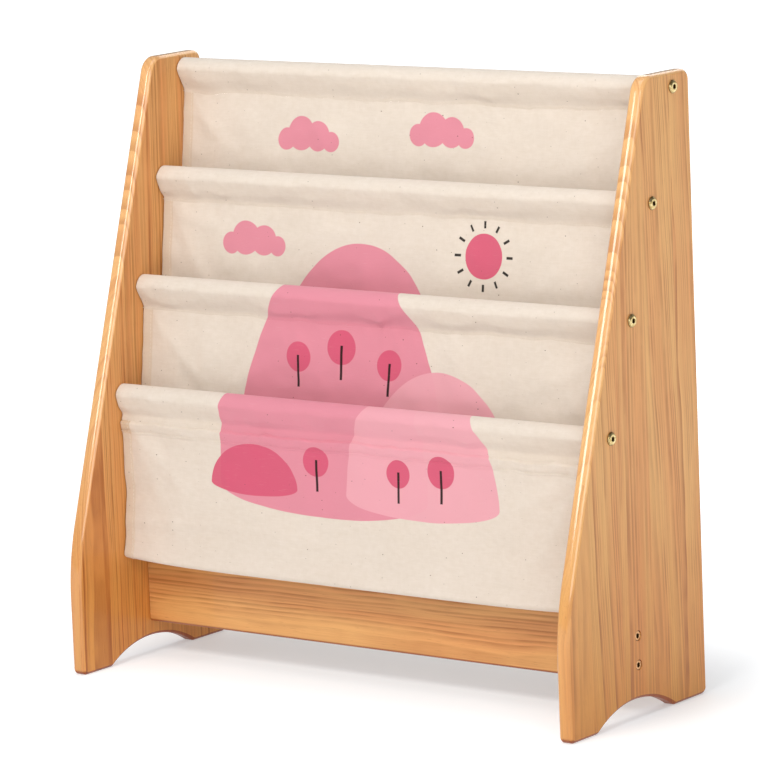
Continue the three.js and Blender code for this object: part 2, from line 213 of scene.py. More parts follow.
class Value:
    """A number that varies over a surface: a node's socket that takes part in arithmetic."""

    def __init__(self, finish, socket):
        self.finish = finish
        self.socket = socket

    def math(self, operation, *others):
        inputs = dict(enumerate((self, *others)))
        return self.finish.node("Math", {"operation": operation}, inputs)

    __add__ = __radd__ = partialmethod(math, "ADD")
    __sub__ = partialmethod(math, "SUBTRACT")
    __mul__ = __rmul__ = partialmethod(math, "MULTIPLY")
    __truediv__ = partialmethod(math, "DIVIDE")
    __pow__ = partialmethod(math, "POWER")

    def __rsub__(self, other):
        return self * -1.0 + other

    def step(self, low, high):
        """Rises smoothly from 0 at low to 1 at high, or falls where high is the smaller."""
        if high < low:
            return 1 - self.step(high, low)
        spans = {"Value": self, "From Min": low, "From Max": high}
        return self.finish.node("MapRange", {"interpolation_type": "SMOOTHSTEP"}, spans)


class Finish:
    """A material, and the one method that adds any node to it."""

    def __init__(self, name):
        self.material = bpy.data.materials.new(name)
        self.material.use_nodes = True
        self.tree = self.material.node_tree
        self.tree.nodes.clear()

    def node(self, kind, settings=None, inputs=None, output=0):
        made = self.tree.nodes.new("ShaderNode" + kind)
        for key, value in (settings or {}).items():
            setattr(made, key, value)
        for key, value in (inputs or {}).items():
            if isinstance(value, Value):
                self.tree.links.new(value.socket, made.inputs[key])
            else:
                made.inputs[key].default_value = value
        return Value(self, made.outputs[output])

    def parts(self, vector):
        """The three numbers of a vector or a colour."""
        outputs = self.node("SeparateXYZ", None, {0: vector}).socket.node.outputs
        return [Value(self, socket) for socket in outputs]

    def vector(self, x, y, z):
        return self.node("CombineXYZ", None, {0: x, 1: y, 2: z})

    def here(self):
        """The place on the object, as three numbers."""
        return self.parts(self.node("TexCoord", output="Object"))

    def facing(self):
        """The way the surface faces, as three numbers."""
        return self.parts(self.node("NewGeometry", output="Normal"))

    def attribute(self, title):
        return self.node("Attribute", {"attribute_name": title}, output="Fac")

    def chance(self, number, output=0):
        """A random number or colour for each value of a number."""
        return self.node("TexWhiteNoise", {"noise_dimensions": "1D"}, {"W": number}, output)

    def mix(self, under, over, share, blend="MIX"):
        """One colour over another."""
        settings = {"data_type": "RGBA", "blend_type": blend}
        return self.node("Mix", settings, {0: share, 6: under, 7: over}, output=2)

    def noise(self, place, scale, detail=2.0, roughness=0.5):
        """Cloudy random numbers from 0 to 1. place is three numbers."""
        inputs = {
            "Vector": self.vector(*place), "Scale": scale, "Detail": detail, "Roughness": roughness,
        }
        return self.node("TexNoise", None, inputs)

    def bump(self, height, strength, distance):
        inputs = {"Strength": strength, "Distance": distance, "Height": height}
        return self.node("Bump", None, inputs)

    def shade(self, sockets):
        """Ends the material in one shader."""
        shader = self.node("BsdfPrincipled", None, sockets)
        end = self.tree.nodes.new("ShaderNodeOutputMaterial")
        self.tree.links.new(shader.socket, end.inputs["Surface"])
        return self.material


# Finishes

PINE_EARLY = colour("eabb7e")
PINE_LATE = colour("9c5a1c")
PINE_EDGE_SHEEN = colour("f5d09b")
PINE_FOOT_SHADE = colour("f1dfb0")
PINE_RED = colour("f4ccae")
PINE_GOLD = colour("fdf1da")
PINE_PORE = colour("8a5429")
PINE_UNDERSIDE_SHADE = colour("b8884f")
NO_WASH = colour("ffffff")
RING_SPACING = 3.4 * MM
RING_UNEVENNESS = 6.5
QUARTER_SPACING = 0.35
GRAIN_SWAY = 9 * MM
GRAIN_WAVE = 3.4 * MM
FOOT_SHADE_HEIGHT = 0.27
HEART_LEAN = 0.07
QUARTER_FLATNESS = 0.88

# Where a stave's heart lies, in millimetres, with the random part of it
HEART_ASIDE = 10
ASIDE_SPREAD = 72
QUARTER_ASIDE = 70
HEART_BEHIND = 12
BEHIND_SPREAD = 40


def pine(name, grain, seed, face, joint=STAVE_JOINT_Y, stave_width=STAVE_WIDTH, wash=NO_WASH):
    """Lacquered pine, as growth rings about the heart of each glued stave, along X or Z.

    face is how far the board's inner face stands from the middle of the shelf, and wash is a
    colour over the whole board. One stave of an upright board is quarter-sawn.
    """
    finish = Finish(name)
    upright = grain == "Z"
    x, y, z = finish.here()
    thick, wide, along = (x.math("ABSOLUTE") - face, y, z) if upright else (y - face, z, x)

    stave = ((wide - joint) / stave_width).math("FLOOR")
    shift, depth, tone = finish.parts(finish.chance(stave + seed, "Color"))
    side = (shift - 0.5).math("SIGN")
    across = wide - joint - (stave + 0.5) * stave_width
    quarter = (stave + 1).math("ABSOLUTE").step(1.0, 0.0) if upright else 0.0
    aside = (HEART_ASIDE + ASIDE_SPREAD * depth + QUARTER_ASIDE * quarter) * MM
    heart = side * aside + along * (HEART_LEAN * (tone - 0.5))
    behind = (HEART_BEHIND + BEHIND_SPREAD * shift) * MM
    deep = (thick + behind) * (1 - QUARTER_FLATNESS * quarter)

    sway = finish.noise((stave * 7.3, along, seed), 2.6, 1.0) - 0.5
    wave = finish.noise((wide * 6, along * 1.6, thick * 6), 6.0, 1.0) - 0.5
    radius = ((across - heart) ** 2 + deep ** 2) ** 0.5 + sway * GRAIN_SWAY + wave * GRAIN_WAVE
    uneven = finish.noise((radius, stave + seed, 0.0), 55.0, 1.5) - 0.5
    count = (radius / RING_SPACING + uneven * RING_UNEVENNESS) * (1 - QUARTER_SPACING * quarter)
    ring = count.math("FRACT")
    strength = finish.chance(count.math("FLOOR") + seed)
    patches = finish.noise((radius * 3, along * 0.5, stave + seed), 26.0, 2.0)
    fade = patches.step(0.36, 0.62)
    late = ring.step(0.1, 0.86) * ring.step(1.0, 0.88)
    late = late * (0.15 + 0.85 * strength) * (0.3 + 0.7 * fade)

    fibres = finish.noise((thick, wide, along * 0.02), 950.0, 3.0, 0.6)
    streaks = finish.noise((radius, stave + seed, along * 0.03), 260.0, 2.0)
    bands = finish.noise((radius, stave + seed, along * 0.05), 60.0, 1.0)
    pores = finish.noise((thick * 2, wide * 2, along * 0.09), 800.0, 1.0)
    facing = finish.facing()
    off_face = facing[0 if upright else 1].math("ABSOLUTE").step(0.98, 0.75)
    on_edge = off_face * facing[2].step(-0.5, -0.1)
    # toe is painted shade: an upright board grows darker towards the floor, where less light falls.
    toe = along.step(FOOT_SHADE_HEIGHT, 0.0) if upright else 0.0
    block = on_edge * quarter
    late = late + (ring.step(0.2, 0.9) * ring.step(1.0, 0.96) * 0.5 - late) * block
    late = late * (1 - 0.5 * (on_edge - block))
    darkness = late * 0.75 + (fibres - 0.5) * 0.4 + (streaks - 0.5) * (0.5 - 0.3 * on_edge) + 0.08
    base = finish.mix(PINE_EARLY, PINE_LATE, darkness)
    redness = bands.step(0.38, 0.64) * 0.5 + strength * 0.3 + tone * 0.25
    base = finish.mix(base, finish.mix(PINE_GOLD, PINE_RED, redness), 0.9, "MULTIPLY")
    base = finish.mix(base, PINE_PORE, pores.step(0.66, 0.76) * 0.35)

    # Painted sheen: rounded edges that don't face down are paled, less so near the foot.
    base = finish.mix(base, PINE_EDGE_SHEEN, 0.22 * on_edge * (1 - late) * (1 - 0.7 * toe))
    # Painted shade darkening the foot of an upright board.
    base = finish.mix(base, PINE_FOOT_SHADE, toe, "MULTIPLY")
    # Painted shade: wood that faces down is darkened, where shade falls under the board.
    base = finish.mix(base, PINE_UNDERSIDE_SHADE, facing[2].step(-0.1, -0.6), "MULTIPLY")
    base = finish.mix(base, wash, 1.0, "MULTIPLY")
    return finish.shade({
        "Base Color": base,
        "Roughness": 0.40 + 0.12 * fibres,
        "Specular IOR Level": 0.35,
        "Coat Weight": 0.2 + 0.8 * on_edge,
        "Coat Roughness": 0.06,
        "Normal": finish.bump(late * 0.5 + fibres, 0.16, 0.1 * MM),
    })


CREAM = colour("ddd1c5")
CREAM_SLUB = colour("cdbead")
CLOTH_SHADE = colour("c9b093")
FLECK = colour("5a3d26")
PINK = colour("d68494")
DEEP_PINK = colour("cc5570")
PALE_PINK = colour("e09ea8")
INK_BLACK = colour("1a110d")
INK_EDGE = 0.35 * MM
INK_COVER = 0.97

# The print's places and sizes, in millimetres
GROUND = 196
HILL_DIP = 0.2
SUN = (112, 427)
SUN_RADIUS = 22
SUN_RAYS = 12
RAY_FROM = 27
RAY_TO = 34
RAY_HALF_WIDTH = 1.3
HILLS = ((PINK, -36, 128, 236), (PALE_PINK, 84, 92, 122), (DEEP_PINK, -122, 54, 42))
TREES = (
    (-88, 322, 15), (-36, 334, 17), (22, 320, 15), (-44, 226, 15), (56, 222, 14), (108, 228, 16),
)
STEM_HALF_WIDTH = 1.4
STEM_BELOW_CROWN = 15
STEM_IN_CROWN = 2
CLOUDS = ((-128, 526), (36, 536), (-172, 424))
CLOUD_PUFFS = ((-27, 0, 11), (-9, 6, 17), (13, 4, 15), (30, -1, 10))


def within(distance, limit):
    """1 where a distance is less than a limit in millimetres."""
    return distance.step(limit * MM + INK_EDGE, limit * MM - INK_EDGE)


def disc(x, z, centre, radius):
    """1 inside a round spot of the print."""
    away = ((x - centre[0] * MM) ** 2 + (z - centre[1] * MM) ** 2) ** 0.5
    return within(away, radius)


def hill(x, z, middle_x, half_width, rise):
    """1 inside a hill, round above the ground and a little below it."""
    run = ((x - middle_x * MM) / (half_width * MM)) ** 2
    bulge = (1 - run).math("MAXIMUM", 0.0) ** 0.5
    over_top = bulge * (rise * MM) + GROUND * MM - z
    over_foot = z + bulge * (half_width * HILL_DIP * MM) - GROUND * MM
    return over_top.step(0.0, 2 * INK_EDGE) * over_foot.step(0.0, 2 * INK_EDGE)


def stem(x, z, middle_x, low, high):
    """1 inside an upright pen stroke."""
    inside = within((x - middle_x * MM).math("ABSOLUTE"), STEM_HALF_WIDTH)
    return inside * z.step(low * MM, low * MM + INK_EDGE) * z.step(high * MM, high * MM - INK_EDGE)


def sun_rays(x, z):
    """Short pen strokes all round the sun."""
    dx = x - SUN[0] * MM
    dz = z - SUN[1] * MM
    away = (dx ** 2 + dz ** 2) ** 0.5
    turn = dz.math("ARCTAN2", dx) * (SUN_RAYS / (2 * math.pi))
    aside = ((turn - turn.math("ROUND")) * (2 * math.pi / SUN_RAYS) * away).math("ABSOLUTE")
    outside_sun = away.step(RAY_FROM * MM - INK_EDGE, RAY_FROM * MM + INK_EDGE)
    return within(aside, RAY_HALF_WIDTH) * outside_sun * within(away, RAY_TO)


def any_of(masks):
    """1 where any of several shapes is."""
    return reduce(lambda whole, mask: whole.math("MAXIMUM", mask), masks)


def landscape(finish, x, z, cloth_colour, printed):
    """The print: round hills with small trees, a sun with rays and a few clouds."""
    clouds = any_of([
        disc(x, z, (middle_x + px, level + pz), size)
        for middle_x, level in CLOUDS for px, pz, size in CLOUD_PUFFS
    ])
    crowns = any_of([disc(x, z, (tree_x, top), size) for tree_x, top, size in TREES])
    stems = any_of([
        stem(x, z, tree_x, top - size - STEM_BELOW_CROWN, top + STEM_IN_CROWN)
        for tree_x, top, size in TREES
    ])
    for ink, mask in (
        (PINK, clouds),
        (DEEP_PINK, disc(x, z, SUN, SUN_RADIUS)),
        (INK_BLACK, sun_rays(x, z)),
        *((ink, hill(x, z, *form)) for ink, *form in HILLS),
        (DEEP_PINK, crowns),
        (INK_BLACK, stems),
    ):
        cloth_colour = finish.mix(cloth_colour, ink, mask * printed * INK_COVER)
    return cloth_colour


THREAD_PITCH = 0.8 * MM
SLUB_SCALE = 620.0
SLUB_STRETCH = 0.12
FLECK_SCALE = 76
FLECK_LEAST = 0.016
FLECK_SPREAD = 0.036


def canvas(name):
    """Unbleached cotton canvas, plain woven, with seed flecks and slubs, printed on one side."""
    finish = Finish(name)
    x, _, z = finish.here()
    u, v, _ = finish.parts(finish.node("UVMap", {"uv_map": "cloth"}))
    printed = finish.attribute("printed")

    warp, weft = ((run * (math.pi / THREAD_PITCH)).math("SINE") for run in (u, v))
    weave = warp * weft
    weft_slubs = finish.noise((u * SLUB_STRETCH, v, 0.0), SLUB_SCALE, 2.0)
    warp_slubs = finish.noise((u, v * SLUB_STRETCH, 3.0), SLUB_SCALE, 2.0)
    slubs = weft_slubs * 0.6 + warp_slubs * 0.4
    mottle = finish.noise((u, v * 1.6, 7.0), 130.0, 3.0, 0.6)
    cloud = finish.noise((u, v, 9.0), 14.0, 2.0)
    worn = (slubs - 0.5) * 0.6 + (mottle - 0.5) * 0.7 + (cloud - 0.5) * 0.4 + weave * 0.05 + 0.3
    base = finish.mix(CREAM, CREAM_SLUB, worn)
    # Painted shade: cloth is tinted tan where it lies doubled, and on each casing's lower part.
    base = finish.mix(base, CLOTH_SHADE, finish.attribute("layers") * 0.4)
    base = landscape(finish, x, z, base, printed)
    base = finish.mix(base, CREAM, (weft_slubs - 0.62) * 0.5)

    scatter = {"Vector": finish.vector(u * 0.7, v, 0.0), "Scale": FLECK_SCALE}
    spots = finish.node("TexVoronoi", {"voronoi_dimensions": "2D"}, scatter)
    chosen = finish.parts(Value(finish, spots.socket.node.outputs["Color"]))[0]
    size = FLECK_LEAST + FLECK_SPREAD * chosen ** 4
    fleck = (spots / size).step(1.0, 0.4) * chosen.step(0.32, 0.34)
    base = finish.mix(base, FLECK, fleck * (0.2 + 0.65 * chosen ** 3))
    return finish.shade({
        "Base Color": base,
        "Roughness": 0.86 + 0.1 * slubs,
        "Specular IOR Level": 0.18,
        "Sheen Weight": 0.22,
        "Sheen Roughness": 0.5,
        "Normal": finish.bump(weave * 0.3 + slubs + mottle, 0.32, 0.3 * MM),
    })


THREAD_CREAM = colour("e2d8cb")
THREAD_SHADE = colour("c6b7a3")


def sewing_thread(name, printed):
    """Twisted cotton thread, plain or with the print running over it."""
    finish = Finish(name)
    x, y, z = finish.here()
    twist = finish.noise((x, y, z), 2400.0, 2.0)
    base = finish.mix(THREAD_CREAM, THREAD_SHADE, twist)
    return finish.shade({
        "Base Color": landscape(finish, x, z, base, 1.0) if printed else base,
        "Roughness": 0.75 + 0.2 * twist,
        "Normal": finish.bump(twist, 0.3, 0.1 * MM),
    })


DARK_FLANK_REFLECTION = colour("6a4a24")


def plated_steel(name, bright, dull, rough):
    """Plated steel, stained and scuffed a little, with a painted dark reflection on the flanks of
    its head.
    """
    finish = Finish(name)
    x, y, z = finish.here()
    stain = finish.noise((x, y, z), 420.0, 3.0, 0.6)
    scuffs = finish.noise((x * 4, y, z * 4), 1900.0, 2.0)
    # Painted reflection: the flanks of a head are darkened, as if they mirrored a dark surround.
    flank = finish.facing()[0].math("ABSOLUTE").step(0.85, 0.55)
    base = finish.mix(bright, dull, stain.step(0.35, 0.7))
    return finish.shade({
        "Base Color": finish.mix(base, DARK_FLANK_REFLECTION, 0.85 * flank),
        "Metallic": 1.0,
        "Roughness": rough + 0.14 * scuffs,
        "Normal": finish.bump(scuffs, 0.12, 0.05 * MM),
    })


INNER_FACE = HALF_WIDTH - BOARD
SIDE_PINE = {
    "left": pine("pine_left", "Z", 3.0, INNER_FACE),
    "right": pine("pine_right", "Z", 11.0, INNER_FACE),
}
RAIL_PINE = pine(
    "pine_rail", "X", 21.0, RAIL_LOW.y, joint=RAIL_LOW.z - 10 * MM, stave_width=0.1,
    wash=colour("f8f8f8"),
)
ROD_PINE = pine("pine_rod", "X", 31.0, 0.0, joint=-0.4, stave_width=1.4)
CANVAS = canvas("canvas")
THREAD = sewing_thread("sewing_thread", printed=False)
PRINTED_THREAD = sewing_thread("printed_thread", printed=True)
ZINC = plated_steel("yellow_zinc", colour("ecd8a0"), colour("b8995a"), 0.2)
# Painted shade: the inside of a key socket is a dark material, where shade falls in the hollow.
SOCKET_SHADE = plated_steel("painted_socket_shade", colour("5f4a2a"), colour("33261a"), 0.5)
BRONZED = plated_steel("bronzed_steel", colour("e3b384"), colour("bb8757"), 0.34)


# Wood

def link(name, mesh, *materials):
    for material in materials:
        mesh.materials.append(material)
    made = bpy.data.objects.new(name, mesh)
    bpy.context.scene.collection.objects.link(made)
    return made


def settle(piece):
    """Turns a piece with modifiers into a plain mesh."""
    graph = bpy.context.evaluated_depsgraph_get()
    done = bpy.data.meshes.new_from_object(
        piece.evaluated_get(graph), preserve_all_data_layers=True, depsgraph=graph,
    )
    piece.modifiers.clear()
    piece.data = done
    done.name = piece.name
    return piece


def finished_solid(name, build, *materials, sharp=38):
    """A closed piece from its bmesh, with level faces kept level beside their rounded edges."""
    bmesh.ops.recalc_face_normals(build, faces=build.faces)
    mesh = bpy.data.meshes.new(name)
    build.to_mesh(mesh)
    build.free()
    mesh.shade_smooth()
    mesh.set_sharp_from_angle(angle=math.radians(sharp))
    piece = link(name, mesh, *materials)
    even = piece.modifiers.new("even_shading", "WEIGHTED_NORMAL")
    even.keep_sharp = True
    return settle(piece)


def stand_for(piece, slot, *nodes):
    """Puts a finished piece on the shelf in place of construction nodes."""
    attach(piece, "root")
    if nodes:
        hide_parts(*nodes)


def unit(vector):
    return vector / np.linalg.norm(vector)


def arc(centre, radius, start, end, steps, hollow=False):
    """Places on a round stretch of an outline, each with the way out of the wood there."""
    turns = np.linspace(start, end, steps + 1)
    spokes = np.stack([np.cos(turns), np.sin(turns)], axis=1)
    return np.hstack([centre + radius * spokes, -spokes if hollow else spokes])


def rounded_corner(before, corner, after, radius, steps=10):
    """The arc that rounds a corner between two straight runs of an outline."""
    back = unit(before - corner)
    ahead = unit(after - corner)
    half = math.acos(back @ ahead) / 2
    centre = corner + unit(back + ahead) * radius / math.sin(half)
    reach = radius / math.tan(half)
    start = corner + back * reach - centre
    end = corner + ahead * reach - centre
    first = math.atan2(start[1], start[0])
    last = math.atan2(end[1], end[0])
    swing = (last - first + math.pi) % (2 * math.pi) - math.pi
    return arc(centre, radius, first, first + swing, steps)


def panel_outline():
    """The side panel's outline in depth and height, anticlockwise from the front foot."""
    knee_z = HEIGHT - (TOP_FRONT_Y - FRONT) / FRONT_SLOPE
    toe = np.array([FRONT, 0])
    heel = np.array([BACK, 0])
    top_back = np.array([BACK, HEIGHT])
    top_front = np.array([TOP_FRONT_Y, HEIGHT])
    knee = np.array([FRONT, knee_z])

    arch_radius = (ARCH_HALF_SPAN ** 2 + ARCH_RISE ** 2) / (2 * ARCH_RISE)
    arch_z = ARCH_RISE - arch_radius
    foot_rise = ARCH_FOOT_ROUND - arch_z
    foot_out = math.sqrt((arch_radius + ARCH_FOOT_ROUND) ** 2 - foot_rise ** 2)
    lean = math.atan2(foot_rise, foot_out)
    down = -math.pi / 2
    front_foot = np.array([ARCH_Y - foot_out, ARCH_FOOT_ROUND])
    back_foot = np.array([ARCH_Y + foot_out, ARCH_FOOT_ROUND])
    return np.vstack([
        rounded_corner(knee, toe, heel, TOE_ROUND),
        arc(front_foot, ARCH_FOOT_ROUND, down, -lean, 8),
        arc(np.array([ARCH_Y, arch_z]), arch_radius, math.pi - lean, lean, 40, hollow=True)[1:-1],
        arc(back_foot, ARCH_FOOT_ROUND, lean - math.pi, down, 8),
        rounded_corner(toe, heel, top_back, TOE_ROUND),
        rounded_corner(heel, top_back, top_front, TOP_BACK_ROUND),
        rounded_corner(top_back, top_front, knee, TOP_FRONT_ROUND, 14),
        rounded_corner(top_front, knee, toe, KNEE_ROUND, 40),
    ])


def edge_rounding():
    """How far a sanded edge is set in, and how far along the thickness, from face to middle."""
    turns = np.linspace(0, math.pi / 2, EDGE_STEPS + 1)
    along = EDGE_ROUND * (1 - np.cos(turns) ** EDGE_FLATNESS)
    along = np.append(along, np.linspace(EDGE_ROUND, BOARD / 2, CROWN_STEPS + 1)[1:])
    inset = EDGE_ROUND * (1 - np.sin(turns) ** EDGE_FLATNESS)
    inset = np.append(inset, np.zeros(CROWN_STEPS))
    to_middle = (BOARD / 2 - np.maximum(along, EDGE_ROUND)) / (BOARD / 2 - EDGE_ROUND)
    return list(zip(inset, EDGE_CROWN * to_middle ** 2, along))


def loft(build, rings):
    """Joins closed rings of points with quads, and gives the rings' vertices."""
    loops = [[build.verts.new(point) for point in ring] for ring in rings]
    for near, far in zip(loops, loops[1:]):
        for place, corner in enumerate(near):
            following = (place + 1) % len(near)
            build.faces.new((corner, near[following], far[following], far[place]))
    return loops


def fill(build, loops):
    """A flat face inside the first loop, with the other loops as holes in it."""
    edges = [
        build.edges.get((corner, loop[(place + 1) % len(loop)]))
        for loop in loops for place, corner in enumerate(loop)
    ]
    bmesh.ops.triangle_fill(build, use_beauty=True, edges=edges)


TURNS = np.arange(ROUND_SIDES) * (2 * math.pi / ROUND_SIDES)
HEX_FLATS = np.cos((TURNS + math.pi / 6) % (math.pi / 3) - math.pi / 6)


def ring_across(x, place, reach):
    """A ring of points that faces along X. reach is its radius, which may vary round it."""
    y = place.y + reach * np.cos(TURNS)
    z = place.z + reach * np.sin(TURNS)
    return [(x, *point) for point in zip(y, z)]


def side_panel(name, side):
    """One side: a board with rounded edges, four bolt holes and two counterbored screw holes."""
    build = bmesh.new()
    inner = side * (HALF_WIDTH - BOARD)
    outer = side * HALF_WIDTH
    outline = panel_outline()
    rounding = edge_rounding()
    flanks = [(inner + side * along, inset, crown) for inset, crown, along in rounding]
    flanks += [(outer - side * along, inset, crown) for inset, crown, along in rounding[-2::-1]]
    rings = []
    for x, inset, crown in flanks:
        ring = []
        for y, z, out_y, out_z in outline:
            back = inset + crown * min(1, max(0, 1 + 2 * out_z))  # the feet stay level
            ring.append((x, y - back * out_y, z - back * out_z))
        rings.append(ring)
    shell = loft(build, rings)

    eased = outer - side * EASING
    seat = outer - side * COUNTERBORE_DEPTH
    bolt_hole = [(inner, BOLT_HOLE), (eased, BOLT_HOLE), (outer, BOLT_HOLE + EASING)]
    screw_hole = [(inner, SCREW_HOLE), (seat, SCREW_HOLE)]
    screw_hole += [(seat, COUNTERBORE), (eased, COUNTERBORE), (outer, COUNTERBORE + EASING)]
    places = [(bolt_hole, RODS[tier]) for tier in TIERS]
    places += [(screw_hole, middle(f"rail_screw_right_{height}")) for height in RAIL_SCREWS]
    holes = [
        loft(build, [ring_across(x, place, radius) for x, radius in profile])
        for profile, place in places
    ]
    for end in (0, -1):
        fill(build, [walls[end] for walls in (shell, *holes)])
    return finished_solid(f"pine_side_{name}", build, SIDE_PINE[name])


def rail():
    """The low rail: a board on edge with rounded arrises and slightly eased ends."""
    build = bmesh.new()
    (left, front, low), (right, back, high) = RAIL_LOW, RAIL_HIGH
    corners = np.array([(front, low), (back, low), (back, high), (front, high)])
    outline = np.vstack([
        rounded_corner(corners[place - 1], corner, corners[(place + 1) % 4], RAIL_ROUND, 8)
        for place, corner in enumerate(corners)
    ])
    eased = EASING
    ends = (left, eased), (left + eased, 0), (right - eased, 0), (right, eased)
    shell = loft(build, [
        [(x, y - inset * out_y, z - inset * out_z) for y, z, out_y, out_z in outline]
        for x, inset in ends
    ])
    fill(build, shell[:1])
    fill(build, shell[-1:])
    return finished_solid("pine_rail", build, RAIL_PINE)


# Bolts and screws

def key_fastener(name, side, seat_x, place, profile, material):
    """A turned fastener with a six-sided key socket. profile is [distance out, radius] in mm."""
    build = bmesh.new()
    rings = [ring_across(seat_x + side * out * MM, place, radius * MM) for out, radius in profile]
    top_x = seat_x + side * profile[-1][0] * MM
    floor_x = top_x - side * HEX_DEPTH
    socket = ((top_x, HEX_CHAMFER), (top_x - side * HEX_CHAMFER_DEPTH, 1.0), (floor_x, 1.0))
    for at_x, spread in socket:
        rings.append(ring_across(at_x, place, spread * HEX_ACROSS_FLATS / 2 / HEX_FLATS))
    rings.append(ring_across(floor_x - side * DRILL_POINT, place, DRILL_POINT_RADIUS))
    loops = loft(build, rings)
    fill(build, loops[:1])
    fill(build, loops[-1:])
    # The socket's inside takes the painted shade material.
    inside = {corner for loop in loops[-3:] for corner in loop}
    for face in build.faces:
        face.material_index = int(inside.issuperset(face.verts))
    return finished_solid(name, build, material, SOCKET_SHADE, sharp=32)


ROD_BOLT = (
    (-40, 1.9), (-39, 2.9), (-0.4, 2.9), (0, 3.2), (0, 6.3), (0.15, 6.5), (0.6, 6.5), (0.85, 6.35),
    (1.9, 5.3), (2.2, 4.9), (2.35, 4.5), (2.4, 4), (2.4, 2.9),
)
RAIL_SCREW = (
    (-44, 0.15), (-39, 2.1), (0, 2.1), (0, 4.3), (0.2, 4.5), (2.9, 4.5), (3.15, 4.3), (3.2, 4),
    (3.2, 2.8),
)


def drive(name, node, place, side, profile, material, slot):
    """Fits a fastener with its head as far out as its node's."""
    low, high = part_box(node)
    seat_x = (high.x if side > 0 else low.x) - side * profile[-1][0] * MM
    stand_for(key_fastener(name, side, seat_x, place, profile, material), slot, node)


def fasteners():
    """The bolts into the rods' ends and the screws into the rail's, on both sides."""
    for name, side in SIDES.items():
        for tier in TIERS:
            node = f"rod_bolt_{name}_{tier}"
            drive(f"bolt_{name}_{tier}", node, RODS[tier], side, ROD_BOLT, ZINC, "zinc_steel")
        for height in RAIL_SCREWS:
            node = f"rail_screw_{name}_{height}"
            screw = f"screw_{name}_{height}"
            drive(screw, node, middle(node), side, RAIL_SCREW, BRONZED, "bronzed_steel")


# Canvas

def smooth(value, low, high):
    """Runs smoothly from 0 at low to 1 at high, whichever is the larger."""
    share = np.clip((value - low) / (high - low), 0, 1)
    return share * share * (3 - 2 * share)


ROW_NOISE = (0.8, 2.3, 3)  # how fast the finer waves fade, how much finer each is, how many
WALL_NOISE = (0.9, 2.1, 3)


def wander(places, wavelength, seed):
    """Smooth random numbers from about -1 to 1 along a row of places."""
    spots = [Vector((place / wavelength, seed, 0.5)) for place in places]
    return 2 * np.array([noise.fractal(spot, *ROW_NOISE) for spot in spots])


def crumple(x, down, size, seed):
    """Smooth random numbers from about -1 to 1 over a wall of cloth.

    size is how far apart the waves are across and down, in millimetres.
    """
    flat = zip(x.ravel() / (size[0] * MM), down.ravel() / (size[1] * MM))
    found = [noise.fractal(Vector((a, b, seed)), *WALL_NOISE) for a, b in flat]
    return 2 * np.array(found).reshape(x.shape)


def stations():
    """Places across the cloth, close together at the hems."""
    inside = CLOTH_HALF_WIDTH - HEM_COLUMNS[-1]
    count = round(2 * inside / STATION_PITCH)
    left = HEM_COLUMNS - CLOTH_HALF_WIDTH
    return np.concatenate([left, np.linspace(-inside, inside, count + 1)[1:-1], -left[::-1]])


ACROSS = stations()
FROM_EDGE = CLOTH_HALF_WIDTH - np.abs(ACROSS)


def seam(tier):
    """Where the bottom of a casing's seam runs: its depth and height across the cloth."""
    ends = smooth(FROM_EDGE, 0, 30 * MM)
    sway = wander(ACROSS, 58 * MM, tier * 9.1) * SEAM_SWAY * ends
    rise = wander(ACROSS, 44 * MM, tier * 5.3 + 40) * SEAM_RISE * ends
    return (RODS[tier].y + sway)[:, None], (RODS[tier].z - CASING_TAIL + rise)[:, None]


def run_along(lines):
    """How far along its line of cloth each point lies."""
    steps = np.linalg.norm(np.diff(lines, axis=1), axis=2)
    return np.concatenate([np.zeros((len(lines), 1)), np.cumsum(steps, axis=1)], axis=1)


def lap_stand(below):
    """How far forward the lowest casing's tail leans where the front panel laps over it."""
    return LAP_STAND * np.where(
        below < CASING_TAIL,
        smooth(below, CASING_TAIL - SEAM_HEIGHT - 4 * MM, CASING_TAIL),
        np.exp(-((below - CASING_TAIL) / LAP_STAND_FADE) ** 2),
    )


